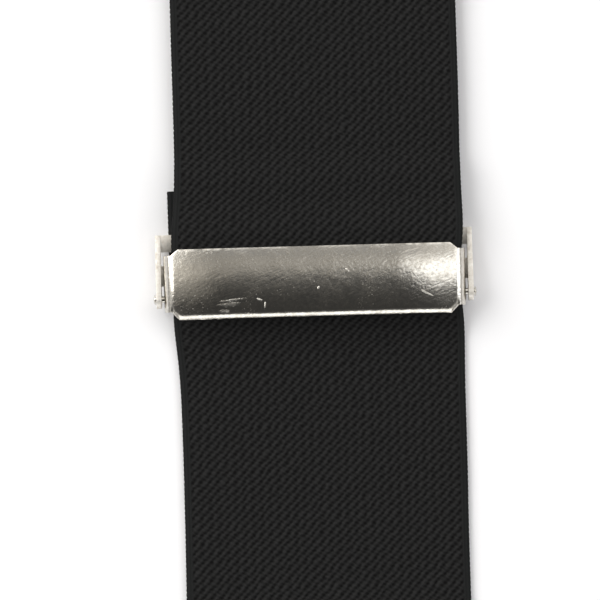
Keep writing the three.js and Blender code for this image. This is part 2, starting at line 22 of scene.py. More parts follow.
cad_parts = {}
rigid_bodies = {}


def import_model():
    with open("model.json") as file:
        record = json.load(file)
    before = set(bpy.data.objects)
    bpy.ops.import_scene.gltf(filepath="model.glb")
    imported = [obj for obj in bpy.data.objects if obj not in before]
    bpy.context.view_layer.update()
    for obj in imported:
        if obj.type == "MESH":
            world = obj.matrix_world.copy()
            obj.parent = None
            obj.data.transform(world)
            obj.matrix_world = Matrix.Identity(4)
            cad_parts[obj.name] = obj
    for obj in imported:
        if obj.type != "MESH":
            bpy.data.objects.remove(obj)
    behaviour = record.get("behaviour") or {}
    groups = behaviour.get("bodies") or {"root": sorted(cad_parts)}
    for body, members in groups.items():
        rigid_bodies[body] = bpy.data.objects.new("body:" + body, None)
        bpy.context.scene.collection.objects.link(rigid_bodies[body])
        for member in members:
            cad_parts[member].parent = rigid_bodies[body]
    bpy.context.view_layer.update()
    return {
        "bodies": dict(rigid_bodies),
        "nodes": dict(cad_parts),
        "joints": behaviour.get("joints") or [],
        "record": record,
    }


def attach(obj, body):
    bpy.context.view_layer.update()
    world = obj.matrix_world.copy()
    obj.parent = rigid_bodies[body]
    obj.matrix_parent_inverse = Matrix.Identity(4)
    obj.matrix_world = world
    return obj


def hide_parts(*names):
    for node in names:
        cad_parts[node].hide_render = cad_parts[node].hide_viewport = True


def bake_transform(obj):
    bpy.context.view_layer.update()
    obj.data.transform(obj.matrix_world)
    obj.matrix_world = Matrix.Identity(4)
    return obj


MM = 0.001
LOG = logging.getLogger("suspenders")
AddNode = Callable[..., Any]


class Side(Enum):
    """The wearer's side that a strap's front clip is on."""

    LEFT = "left"
    RIGHT = "right"

    @property
    def other(self) -> "Side":
        """The opposite side, where the same strap's rear clip is."""
        return Side.RIGHT if self is Side.LEFT else Side.LEFT


class Slot(Enum):
    """The record's material slots."""

    WEBBING = "webbing"
    LEATHER = "leather"
    NICKEL = "nickel"
    NYLON = "nylon"


# ---- materials


def linear(hex_colour: str) -> tuple[float, float, float, float]:
    """Turns an sRGB hex colour into linear light.

    Args:
        hex_colour: Six hex digits, such as "C8C2B7".

    Returns:
        Red, green, blue and an alpha of 1.
    """
    channels = [int(hex_colour[i:i + 2], 16) / 255 for i in (0, 2, 4)]
    bent = [c / 12.92 if c <= 0.04045 else ((c + 0.055) / 1.055) ** 2.4 for c in channels]
    return (*bent, 1.0)


def add_node(
    tree: bpy.types.NodeTree, kind: str, output: Any, inputs: Optional[dict] = None, **settings: Any
) -> Any:
    """Adds one node with its settings, values and links.

    Args:
        tree: The node tree that it goes into.
        kind: The node's Blender type, without "ShaderNode".
        output: The name or number of the output that is wanted, or None for the node.
        inputs: Values or output sockets, by the name or number of the input.
        **settings: Properties of the node itself.

    Returns:
        The output socket, or the node.
    """
    node = tree.nodes.new(f"ShaderNode{kind}")
    for name, value in settings.items():
        setattr(node, name, value)
    for socket, value in (inputs or {}).items():
        if isinstance(value, bpy.types.NodeSocket):
            tree.links.new(value, node.inputs[socket])
        else:
            node.inputs[socket].default_value = value
    return node if output is None else node.outputs[output]


class Finish:
    """A surface finish.  A subclass says what its nodes are; the material is made once."""

    name: str

    def material(self) -> bpy.types.Material:
        """Returns the finish's material, made on first use."""
        found = bpy.data.materials.get(self.name)
        if found:
            return found
        made = bpy.data.materials.new(self.name)
        made.use_nodes = True
        made.node_tree.nodes.clear()
        add = partial(add_node, made.node_tree)
        surface = add("BsdfPrincipled", "BSDF", self.look(add))
        add("OutputMaterial", None, {"Surface": surface})
        return made

    def look(self, add: AddNode) -> dict[str, Any]:
        """Builds the nodes of the finish.

        Args:
            add: The function add_node, tied to the material's own tree.

        Returns:
            The shader's inputs by name.
        """
        raise NotImplementedError


@dataclass(frozen=True)
class ElasticWebbing(Finish):
    """Woven polyester over rubber: dull black, with steep twill ribs of short grains.

    The weave repeats every 1.5 mm, so its ribs are 1.1 mm apart, and the selvedges are
    smoother.  The yarn is all one black: the dark pits between the ribs, the gaps between
    the selvedge threads and the selvedge's rolled outer edge are painted shade in the colour.
    It follows the band's own UV map, in metres.
    Each wave is how often it repeats across and along one repeat, and how strong it is.
    """

    name: str = "woven_elastic_webbing"
    rib: str = "282828"
    # Painted shade: the colour laid into the pits between the ribs and between the selvedge threads,
    # darker than the black yarn itself.
    pit: str = "060606"
    selvedge: str = "232424"
    repeat_across: float = 1.52
    repeat_along: float = 1.57
    waves: tuple[tuple[int, int, float], ...] = ((1, -1, 0.34), (1, 2, 0.13), (1, 0, 0.09))
    stray: float = 0.85
    stray_scale: float = 0.55
    uneven_scale: float = 1.1
    fuzz: float = 0.35
    fuzz_scale: float = 5.0
    half_width: float = 25.0
    selvedge_width: float = 1.15
    thread_pitch: float = 0.55
    relief: float = 0.13
    roughness: float = 0.85
    shine: float = 0.12

    def look(self, add: AddNode) -> dict[str, Any]:
        """Builds the twill, the selvedges, the painted shade in their pits and the relief."""
        uv = add("UVMap", "UV", uv_map="weave")
        in_mm = add("VectorMath", 0, {0: uv, "Scale": 1 / MM}, operation="SCALE")
        drift = add(
            "TexNoise", "Color", {"Vector": in_mm, "Scale": self.stray_scale, "Detail": 2.0})
        centred = add("VectorMath", 0, {0: drift, 1: (0.5, 0.5, 0.5)}, operation="SUBTRACT")
        wandering = add(
            "VectorMath", 0, {0: centred, 1: (self.stray, self.stray, 0.0), 2: in_mm},
            operation="MULTIPLY_ADD")
        columns: Any = 0.5
        for across, along, strength in self.waves:
            per_mm = Vector((across / self.repeat_across, along / self.repeat_along, 0))
            turns = add(
                "VectorMath", "Value", {0: wandering, 1: per_mm * 2 * math.pi},
                operation="DOT_PRODUCT")
            wave = add("Math", 0, {0: turns}, operation="COSINE")
            columns = add("Math", 0, {0: wave, 1: strength, 2: columns}, operation="MULTIPLY_ADD")
        uneven = add(
            "TexNoise", "Fac", {"Vector": in_mm, "Scale": self.uneven_scale, "Detail": 4.0})
        patchy = add("Math", 0, {0: uneven, 1: 1.3, 2: 0.35}, operation="MULTIPLY_ADD")
        twill = add("Math", 0, {0: columns, 1: patchy}, operation="MULTIPLY")

        straight = add("SeparateXYZ", "X", {0: in_mm})
        outward = add("Math", 0, {0: straight}, operation="ABSOLUTE")
        inward = add("Math", 0, {0: self.half_width, 1: outward}, operation="SUBTRACT")
        in_band = add(
            "MapRange", "Result",
            {"Value": inward, "From Min": self.selvedge_width + 0.35,
             "From Max": self.selvedge_width - 0.15}, interpolation_type="SMOOTHSTEP")
        per_thread = add("Math", 0, {0: straight, 1: self.thread_pitch}, operation="DIVIDE")
        threads = add("Math", 0, {0: per_thread, 1: 0.5}, operation="PINGPONG")
        raised = add("Math", 0, {0: threads, 1: 0.6, 2: 0.55}, operation="MULTIPLY_ADD")
        rounded = add(
            "MapRange", "Result", {"Value": inward, "From Min": -0.2, "From Max": 0.35},
            interpolation_type="SMOOTHSTEP")
        band = add("Math", 0, {0: raised, 1: rounded}, operation="MULTIPLY")

        # Painted shade: the pits between the ribs take the darker pit colour, and the selvedge's thread
        # gaps and its rolled outer edge fade to it too.
        weave = add(
            "Mix", 2, {6: linear(self.pit), 7: linear(self.rib), "Factor": twill},
            data_type="RGBA")
        edge = add(
            "Mix", 2, {6: linear(self.pit), 7: linear(self.selvedge), "Factor": band},
            data_type="RGBA")
        colour = add("Mix", 2, {6: weave, 7: edge, "Factor": in_band}, data_type="RGBA")
        height = add("Mix", "Result", {"A": twill, "B": band, "Factor": in_band})
        fibres = add("TexNoise", "Fac", {"Vector": in_mm, "Scale": self.fuzz_scale, "Detail": 2.0})
        fuzzy = add("Math", 0, {0: fibres, 1: self.fuzz, 2: height}, operation="MULTIPLY_ADD")
        normal = add("Bump", "Normal", {"Height": fuzzy, "Distance": self.relief * MM})
        return {
            "Base Color": colour, "Roughness": self.roughness, "Specular IOR Level": self.shine,
            "Normal": normal}


@dataclass(frozen=True)
class Scuff:
    """One mark on polished metal, in mm on the piece's own UV map.

    Its length runs at the angle turn, in radians, and its depth runs from 0 to 1.
    """

    across: float
    along: float
    length: float
    width: float
    turn: float
    depth: float

    def stroke(self, add: AddNode, uv: Any, jitter: Any) -> Any:
        """Builds the mark's nodes, with a ragged edge.

        Args:
            add: The function add_node, tied to the material's own tree.
            uv: The piece's UV map.
            jitter: The noise that makes the edge ragged.

        Returns:
            The mark's strength over the surface.
        """
        local = add(
            "Mapping", 0,
            {"Vector": uv, "Location": (self.across * MM, self.along * MM, 0.0),
             "Rotation": (0.0, 0.0, self.turn),
             "Scale": (self.length * MM / 2, self.width * MM / 2, 1.0)}, vector_type="TEXTURE")
        far = add("VectorMath", "Value", {0: local}, operation="LENGTH")
        ragged = add("Math", 0, {0: jitter, 1: 1.7, 2: far}, operation="MULTIPLY_ADD")
        return add(
            "MapRange", "Result",
            {"Value": ragged, "From Min": 1.75, "From Max": 1.25, "To Max": self.depth})


@dataclass(frozen=True)
class PolishedNickel(Finish):
    """Nickel plate over stamped steel: a warm mirror, mottled and lightly scuffed.

    The mottling is 0.5 to 3 mm across, as handling marks are, with fine pits in patches,
    and the polish lines are drawn 0.3 mm apart, coarser than the real ones, so that they
    show.  Sizes are in mm.
    """

    name: str = "polished_nickel_plate"
    bright: str = "DAD7D0"
    dull: str = "BDB8AE"
    smooth_roughness: float = 0.13
    worn_roughness: float = 0.24
    pit_roughness: float = 0.22
    scuff_roughness: float = 0.3
    blotch: float = 3.2
    speck: float = 0.55
    pit: float = 0.32
    line: float = 0.3
    waviness: float = 0.055
    scuffs: tuple[Scuff, ...] = ()

    def look(self, add: AddNode) -> dict[str, Any]:
        """Builds the mottled colour, the roughness, the waviness and any scuffs."""
        place = add("TexCoord", "Object")
        clouds = []
        for size, detail, stretch in (
                (self.blotch, 5.0, 1.0), (self.speck, 2.0, 1.0), (self.blotch * 2, 2.0, 1.0),
                (self.pit, 1.0, 1.0), (self.line, 2.0, 0.12)):
            drawn = add("Mapping", 0, {"Vector": place, "Scale": (stretch, 1.0, 1.0)})
            clouds.append(add(
                "TexNoise", "Fac", {"Vector": drawn, "Scale": 1 / (size * MM), "Detail": detail}))
        blotches, specks, patches, dots, lines = clouds
        wear = add("Math", 0, {0: blotches, 1: 0.65, 2: specks}, operation="MULTIPLY_ADD")
        worn = add("MapRange", "Result", {"Value": wear, "From Min": 0.5, "From Max": 1.15})
        handled = add("MapRange", "Result", {"Value": patches, "From Min": 0.42, "From Max": 0.62})
        deep = add("MapRange", "Result", {"Value": dots, "From Min": 0.65, "From Max": 0.75})
        pits = add("Math", 0, {0: deep, 1: handled}, operation="MULTIPLY")
        marks: Any = 0.0
        if self.scuffs:
            uv = add("UVMap", "UV", uv_map="plate")
            jitter = add("TexNoise", "Fac", {"Vector": uv, "Scale": 1500.0, "Detail": 3.0})
            for scuff in self.scuffs:
                stroke = scuff.stroke(add, uv, jitter)
                marks = add("Math", 0, {0: marks, 1: stroke}, operation="MAXIMUM")
        roughness = add(
            "MapRange", "Result",
            {"Value": worn, "To Min": self.smooth_roughness, "To Max": self.worn_roughness})
        for extra, share in ((pits, self.pit_roughness), (marks, self.scuff_roughness)):
            roughness = add(
                "Math", 0, {0: extra, 1: share, 2: roughness}, operation="MULTIPLY_ADD")
        surface = blotches
        for extra, share in ((specks, 0.3), (lines, 0.2), (marks, 1.6)):
            surface = add("Math", 0, {0: extra, 1: share, 2: surface}, operation="MULTIPLY_ADD")
        colour = add(
            "Mix", 2, {6: linear(self.bright), 7: linear(self.dull), "Factor": worn},
            data_type="RGBA")
        normal = add("Bump", "Normal", {"Height": surface, "Distance": self.waviness * MM})
        return {"Base Color": colour, "Metallic": 1.0, "Roughness": roughness, "Normal": normal}


TUMBLED_NICKEL = PolishedNickel(
    name="tumbled_nickel_plate", bright="DCD8D0", dull="C4BEB3", smooth_roughness=0.2,
    worn_roughness=0.33, blotch=2.6, waviness=0.02)
# Barrel-plated nickel for the adjuster's frame: matt, with its colour painted paler than nickel. This
# painted highlight makes the frame's arms read as brightly lit.
BARREL_NICKEL = PolishedNickel(
    name="barrel_nickel_plate", bright="F4F1EB", dull="DCD6CC", smooth_roughness=0.45,
    worn_roughness=0.75, blotch=1.8, waviness=0.02)
SCUFFED_NICKEL = PolishedNickel(
    name="scuffed_nickel_plate",
    scuffs=(
        Scuff(-8.8, -4.1, 1.5, 0.3, 1.45, 0.6), Scuff(-9.8, -3.0, 1.2, 0.34, -0.3, 0.5),
        Scuff(-14.2, -3.0, 5.6, 0.5, 0.1, 0.42), Scuff(-14.9, -3.8, 5.0, 0.9, 0.05, 0.38),
        Scuff(-15.6, -4.9, 3.2, 0.5, 0.0, 0.3), Scuff(17.9, 0.0, 3.4, 0.2, -0.9, 0.4),
        Scuff(19.3, -2.6, 2.6, 0.34, -0.5, 0.7), Scuff(5.7, 1.7, 1.1, 0.36, -1.0, 0.5),
        Scuff(0.6, -1.3, 0.7, 0.36, 1.3, 0.5)))


@dataclass(frozen=True)
class GrainedLeather(Finish):
    """Drum-dyed cowhide: near-black with a semi-gloss, a 1.5 mm pebble with painted shade in its
    valleys, and soft creases.
    """

    name: str = "grained_cow_leather"
    top: str = "181615"
    # Painted shade: the colour laid into the grain's valleys, darker than the dyed leather itself.
    valley: str = "060505"
    pebble: float = 1.5
    crease: float = 9.0
    relief: float = 0.12
    shine: float = 0.3

    def look(self, add: AddNode) -> dict[str, Any]:
        """Builds the pebbled grain, the painted shade in its valleys and the creases."""
        place = add("TexCoord", "Object")
        pebbles = add(
            "TexVoronoi", "Distance", {"Vector": place, "Scale": 1 / (self.pebble * MM)},
            feature="DISTANCE_TO_EDGE")
        domed = add(
            "MapRange", "Result", {"Value": pebbles, "From Max": 0.4},
            interpolation_type="SMOOTHSTEP")
        creases = add(
            "TexNoise", "Fac",
            {"Vector": place, "Scale": 1 / (self.crease * MM), "Detail": 4.0, "Distortion": 0.6})
        # Painted shade: the grain's valleys take the darker valley colour, and the pebble tops take the
        # leather's own near-black.
        colour = add(
            "Mix", 2, {6: linear(self.valley), 7: linear(self.top), "Factor": domed},
            data_type="RGBA")
        roughness = add("MapRange", "Result", {"Value": creases, "To Min": 0.3, "To Max": 0.52})
        grain = add("Math", 0, {0: creases, 1: 2.5, 2: domed}, operation="MULTIPLY_ADD")
        normal = add("Bump", "Normal", {"Height": grain, "Distance": self.relief * MM})
        return {
            "Base Color": colour, "Roughness": roughness, "Specular IOR Level": self.shine,
            "Normal": normal}


@dataclass(frozen=True)
class MouldedNylon(Finish):
    """Injection-moulded nylon: charcoal, satin, with a fine spark-eroded texture."""

    name: str = "moulded_nylon"
    colour: str = "1E1E20"
    dusty: str = "2A2A2C"
    texture: float = 0.35
    relief: float = 0.02

    def look(self, add: AddNode) -> dict[str, Any]:
        """Builds the moulded texture."""
        place = add("TexCoord", "Object")
        grit = add(
            "TexNoise", "Fac", {"Vector": place, "Scale": 1 / (self.texture * MM), "Detail": 3.0})
        colour = add(
            "Mix", 2, {6: linear(self.colour), 7: linear(self.dusty), "Factor": grit},
            data_type="RGBA")
        roughness = add("MapRange", "Result", {"Value": grit, "To Min": 0.42, "To Max": 0.6})
        normal = add("Bump", "Normal", {"Height": grit, "Distance": self.relief * MM})
        return {"Base Color": colour, "Roughness": roughness, "Normal": normal}


@dataclass(frozen=True)
class BondedThread(Finish):
    """Bonded polyester sewing thread: black with a faint sheen, twisted every 0.5 mm."""

    name: str = "bonded_sewing_thread"
    light: str = "3A3837"
    dark: str = "121111"
    twist: float = 0.5
    relief: float = 0.05

    def look(self, add: AddNode) -> dict[str, Any]:
        """Builds the twist."""
        place = add("TexCoord", "Object")
        twist = add(
            "TexNoise", "Fac", {"Vector": place, "Scale": 1 / (self.twist * MM), "Detail": 2.0})
        colour = add(
            "Mix", 2, {6: linear(self.dark), 7: linear(self.light), "Factor": twist},
            data_type="RGBA")
        normal = add("Bump", "Normal", {"Height": twist, "Distance": self.relief * MM})
        return {"Base Color": colour, "Roughness": 0.5, "Normal": normal}


@dataclass(frozen=True)
class MattLaminate(Finish):
    """Melamine laminate: white, matt and even, so that the table shows only shadows."""

    name: str = "matt_white_laminate"
    colour: str = "FBFBFD"

    def look(self, add: AddNode) -> dict[str, Any]:
        """Returns the plain surface, which needs no nodes of its own."""
        return {
            "Base Color": linear(self.colour), "Roughness": 0.9, "Specular IOR Level": 0.1}


# ---- mesh helpers


@dataclass(frozen=True)
class Piece:
    """What a finished piece is called, what it moves with and what it stands for."""

    name: str
    body: Optional[str]
    slot: Slot
    finish: Finish
    replaces: tuple[str, ...] = ()


def make_piece(
    mesh: bmesh.types.BMesh, piece: Piece, place: Matrix, crisp: float = 35.0
) -> bpy.types.Object:
    """Turns a bmesh in mm into a finished piece in the shared frame.

    Args:
        mesh: The shape in its own frame, in mm.  It is freed.
        piece: The piece's name, body, slot, finish and CAD nodes.
        place: The matrix from the piece's own frame, in mm, to the shared one, in metres.
        crisp: The angle in degrees past which an edge is shaded sharp.

    Returns:
        The linked object, with its place in its mesh.
    """
    bmesh.ops.transform(mesh, matrix=place, verts=mesh.verts)
    data = bpy.data.meshes.new(piece.name)
    mesh.to_mesh(data)
    mesh.free()
    data.shade_smooth()
    data.set_sharp_from_angle(angle=math.radians(crisp))
    data.materials.append(piece.finish.material())
    item = bpy.data.objects.new(piece.name, data)
    bpy.context.scene.collection.objects.link(item)
    if piece.body:
        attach(item, piece.body)
    if piece.replaces:
        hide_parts(*piece.replaces)
    LOG.info("%s: %d faces, on %s", piece.name, len(data.polygons), piece.body or "two bodies")
    return item


def cut_up(mesh: bmesh.types.BMesh, axis: int, places: Iterable[float]) -> None:
    """Cuts every face along planes square to one axis, so that it can be bent.

    Args:
        mesh: The flat blank.
        axis: 0 for planes across X, 1 for planes across Y.
        places: Where the planes stand, in mm.
    """
    normal = Vector((axis == 0, axis == 1, 0))
    for place in places:
        geometry = mesh.verts[:] + mesh.edges[:] + mesh.faces[:]
        bmesh.ops.bisect_plane(
            mesh, geom=geometry, dist=1e-5, plane_co=normal * place, plane_no=normal)


def steps(start: float, end: float, pitch: float) -> list[float]:
    """Returns evenly spaced places from start to end, no further apart than pitch."""
    count = max(1, math.ceil(abs(end - start) / pitch))
    return [start + (end - start) * i / count for i in range(count + 1)]


def arc(
    centre: tuple[float, float], radius: float, start: float, end: float, count: int
) -> list[tuple[float, float]]:
    """Returns points on an arc, with its angles in degrees."""
    angles = [math.radians(start + (end - start) * i / count) for i in range(count + 1)]
    return [(centre[0] + radius * math.cos(a), centre[1] + radius * math.sin(a)) for a in angles]


def blank(points: Sequence[tuple[float, float]]) -> bmesh.types.BMesh:
    """Returns a flat face with this outline, facing up."""
    mesh = bmesh.new()
    rim = [mesh.verts.new((x, y, 0)) for x, y in points]
    face = mesh.faces.new(rim)
    face.normal_update()
    if face.normal.z < 0:
        face.normal_flip()
    return mesh


def thicken(mesh: bmesh.types.BMesh, thickness: float, rounding: float) -> None:
    """Gives a formed blank its thickness, below its face, and rounds its rim.

    Args:
        mesh: The open surface, whose faces point out.
        thickness: How thick the sheet is, in mm.
        rounding: The radius of its edges, in mm.
    """
    mesh.normal_update()
    upper = list(mesh.faces)
    bmesh.ops.solidify(mesh, geom=upper, thickness=thickness)
    mesh.normal_update()
    bmesh.ops.recalc_face_normals(mesh, faces=mesh.faces)
    soften(mesh, rounding, 2, 50.0)


def soften(mesh: bmesh.types.BMesh, width: float, segments: int, angle: float) -> None:
    """Bevels every edge that is sharper than an angle.

    Args:
        mesh: The closed mesh.
        width: The bevel's width, in mm.
        segments: How many faces round the bevel.
        angle: The least angle that counts as an edge, in degrees.
    """
    limit = math.radians(angle)
    sharp = [e for e in mesh.edges if e.is_manifold and e.calc_face_angle(0.0) > limit]
    if not sharp:
        return
    bmesh.ops.bevel(
        mesh, geom=sharp, offset=width, offset_type="OFFSET", affect="EDGES", segments=segments,
        profile=0.5, material=-1, clamp_overlap=True)


def copy_of(
    node: str, width: float, reshape: Optional[Callable[[Vector], Vector]] = None
) -> bmesh.types.BMesh:
    """Returns a CAD node's shape, merged, cleaned and softened.

    Args:
        node: The CAD node's name.
        width: How wide its edges are rounded, in mm.
        reshape: Moves a point of the clean shape before its edges are rounded.

    Returns:
        The shape in the shared frame, in mm.
    """
    mesh = bmesh.new()
    mesh.from_mesh(bpy.data.objects[node].data)
    bmesh.ops.transform(mesh, matrix=Matrix.Scale(1 / MM, 4), verts=mesh.verts)
    bmesh.ops.remove_doubles(mesh, verts=mesh.verts, dist=1e-3)
    bmesh.ops.dissolve_limit(
        mesh, angle_limit=math.radians(1.5), verts=mesh.verts, edges=mesh.edges)
    for vertex in mesh.verts:
        vertex.co = reshape(vertex.co) if reshape else vertex.co
    soften(mesh, width, 2, 28.0)
    return mesh


def stitch_row(
    mesh: bmesh.types.BMesh, start: Vector, end: Vector, pitch: float, height: Callable, size: Vector
) -> None:
    """Adds a row of lockstitches along a straight seam.

    Args:
        mesh: The mesh that the stitches join.
        start: The seam's first point, in mm.
        end: The seam's last point, in mm.
        pitch: The length of one stitch and its gap, in mm.
        height: The seam's height at (x, y), in mm.
        size: Half the length, width and height of one stitch, in mm.
    """
    way = end - start
    count = max(1, round(way.length / pitch))
    turn = Matrix.Rotation(math.atan2(way.y, way.x), 4, "Z")
    shape = Matrix.Diagonal((*size, 1))
    for i in range(count):
        middle = start + way * ((i + 0.5) / count)
        place = Vector((middle.x, middle.y, height(middle.x, middle.y)))
        bmesh.ops.create_uvsphere(
            mesh, u_segments=8, v_segments=5, radius=1.0,
            matrix=Matrix.Translation(place) @ turn @ shape)


# ---- webbing


class Path:
    """The middle line of a band, in (s, z) mm: s runs along the strap, z is height."""

    RAMP_STEPS = 24
    TURN_STEPS = 24

    def __init__(self, s: float, z: float) -> None:
        """Starts the line at (s, z)."""
        self.points = [Vector((s, z))]

    def run(self, s: float) -> "Path":
        """Goes straight on to s at the present height."""
        self.points.append(Vector((s, self.points[-1].y)))
        return self

    def ramp(self, s: float, z: float) -> "Path":
        """Rises or falls smoothly to the height z at s."""
        start = self.points[-1].copy()
        for i in range(1, self.RAMP_STEPS + 1):
            t = i / self.RAMP_STEPS
            share = t * t * (3 - 2 * t)
            self.points.append(Vector((start.x + (s - start.x) * t, start.y + (z - start.y) * share)))
        return self

    def turn(self, side: int, radius: float, rising: bool) -> "Path":
        """Makes a half turn that bulges in the direction side, along s."""
        start = self.points[-1].copy()
        way = 1 if rising else -1
        for i in range(1, self.TURN_STEPS + 1):
            angle = math.pi * (i / self.TURN_STEPS - 0.5)
            lift = radius * (1 + math.sin(angle)) * way
            self.points.append(Vector((start.x + side * radius * math.cos(angle), start.y + lift)))
        return self

    def settle(self) -> None:
        """Works out the length along the line and the normal at each point."""
        self.reach = [0.0]
        for before, after in zip(self.points, self.points[1:]):
            self.reach.append(self.reach[-1] + (after - before).length)
        self.normals = []
        last = len(self.points) - 1
        for i in range(last + 1):
            way = self.points[min(i + 1, last)] - self.points[max(i - 1, 0)]
            self.normals.append(Vector((-way.y, way.x)).normalized())

    @property
    def length(self) -> float:
        """The line's whole length, in mm."""
        return self.reach[-1]

    def at(self, distance: float, hint: int) -> tuple[Vector, Vector, int]:
        """Finds the point and the normal at a distance along the line.

        Args:
            distance: How far along the line, in mm.
            hint: The segment that the search starts from.

        Returns:
            The point, the normal and the segment that they were found in.
        """
        i = hint
        while i < len(self.reach) - 2 and self.reach[i + 1] < distance:
            i += 1
        span = max(self.reach[i + 1] - self.reach[i], 1e-9)
        t = min(max((distance - self.reach[i]) / span, 0.0), 1.0)
        point = self.points[i].lerp(self.points[i + 1], t)
        normal = self.normals[i].lerp(self.normals[i + 1], t).normalized()
        return point, normal, i


@dataclass
class Band:
    """One length of webbing: its line, and how its two edges wander along it."""

    path: Path
    drift: Callable[[float, float], float]
    swell: Callable[[float, float], float]
    fine: Callable[[float], bool]
    half_width: float = 25.0
    half_thickness: float = 0.6
    edge_round: float = 0.8
    flat_steps: int = 16
    edge_steps: int = 8
    fine_step: float = 0.3
    coarse_step: float = 1.1
    scallop: float = 0.09
    scallop_pitch: float = 1.7
    seed: float = 0.0

    def profile(self) -> list[tuple[float, float]]:
        """Returns the section's closed outline, clockwise from its upper left."""
        flat = self.half_width - self.edge_round
        right = arc((0, 0), 1, 90, -90, self.edge_steps)
        upper = [(x, 1.0) for x in steps(-flat, flat, 2 * flat / self.flat_steps)]
        outer = [(flat + self.edge_round * x, z) for x, z in right[1:-1]]
        half = upper + outer
        return half + [(-x, -z) for x, z in half]

    def rows(self) -> list[float]:
        """Returns how far along the line each ring of the mesh stands, in mm."""
        places, distance, hint = [0.0], 0.0, 0
        while distance < self.path.length:
            point, _, hint = self.path.at(distance, hint)
            distance += self.fine_step if self.fine(point.x) else self.coarse_step
            places.append(min(distance, self.path.length))
        return places

    def build(self) -> bmesh.types.BMesh:
        """Wraps a grid round the line, closes it and lays the weave's UV map on it.

        Returns:
            The closed band in its strap's own frame, in mm.
        """
        section, rows = self.profile(), self.rows()
        around, last = len(section), len(rows) - 1
        mesh = bmesh.new()
        bmesh.ops.create_grid(mesh, x_segments=around, y_segments=last, size=0.5)
        across_layer = mesh.verts.layers.float.new("across")
        along_layer = mesh.verts.layers.float.new("along")
        stations, hint = [], 0
        for distance in rows:
            point, normal, hint = self.path.at(distance, hint)
            stations.append((distance, point, normal))
        for vertex in mesh.verts:
            across, lift = section[round((vertex.co.x + 0.5) * around) % around]
            station = stations[round((vertex.co.y + 0.5) * last)]
            vertex[across_layer] = across * MM
            vertex[along_layer] = station[0] * MM
            vertex.co = self.placed(across, lift, station)
        bmesh.ops.remove_doubles(mesh, verts=mesh.verts, dist=1e-5)
        rim = [edge for edge in mesh.edges if edge.is_boundary]
        bmesh.ops.holes_fill(mesh, edges=rim, sides=0)
        bmesh.ops.recalc_face_normals(mesh, faces=mesh.faces)
        weave = mesh.loops.layers.uv.new("weave")
        for face in mesh.faces:
            for loop in face.loops:
                loop[weave].uv = (loop.vert[across_layer], loop.vert[along_layer])
        return mesh

    def placed(
        self, across: float, lift: float, station: tuple[float, Vector, Vector]
    ) -> Vector:
        """Returns where one point of the section goes, in the strap's own frame, in mm.

        Args:
            across: The point's place across the band, in mm.
            lift: Its place through the thickness, from -1 to 1.
            station: How far along the line it stands, and the line's point and normal there.

        Returns:
            The point.
        """
        distance, point, normal = station
        share = across / self.half_width
        beat = math.sin(2 * math.pi * distance / self.scallop_pitch)
        ripple = self.scallop * beat * share ** 16
        wander = 0.16 * noise.noise(Vector((distance / 23, share * 0.6, self.seed)))
        stretch = 1 + self.swell(point.x, point.y) / self.half_width
        side = across * stretch + self.drift(point.x, point.y) + wander + math.copysign(ripple, across)
        lumps = 0.05 * noise.noise(Vector((across / 9, distance / 12, self.seed + 7)))
        offset = lift * self.half_thickness + lumps
        return Vector((side, point.x + normal.x * offset, point.y + normal.y * offset))


@dataclass
class Levels:
    """Heights and lengths of the webbing's route, in mm, as the design has them."""

    thickness: float = 1.2
    gap: float = 0.3
    clip_bar_radius: float = 0.9
    frame_plate: float = 1.2
    bar_inner: float = 5.7
    bar_outer: float = 8.7
    tail_end: float = 16.4
    tail_room: float = 1.2
    crest: float = 2.0
    adjuster_ramp: float = 14.0
    cross_ramp: float = 16.0
    clip_ramp: float = 10.0
    layer_ramp: float = 6.0
    rear_tail: float = 30.0
    leather: float = 1.6

    def __post_init__(self) -> None:
        """Works out the levels that follow from the thicknesses."""
        self.floor = self.thickness / 2
        self.layer = self.thickness + self.gap
        self.clip_turn = self.clip_bar_radius + self.gap + self.thickness / 2
        self.frame_turn = self.frame_plate / 2 + self.gap + self.thickness / 2
        self.frame_return = self.floor + 2 * self.frame_turn
        self.frame_front = self.frame_return + self.layer
        self.clip_top = self.floor + 2 * self.clip_turn


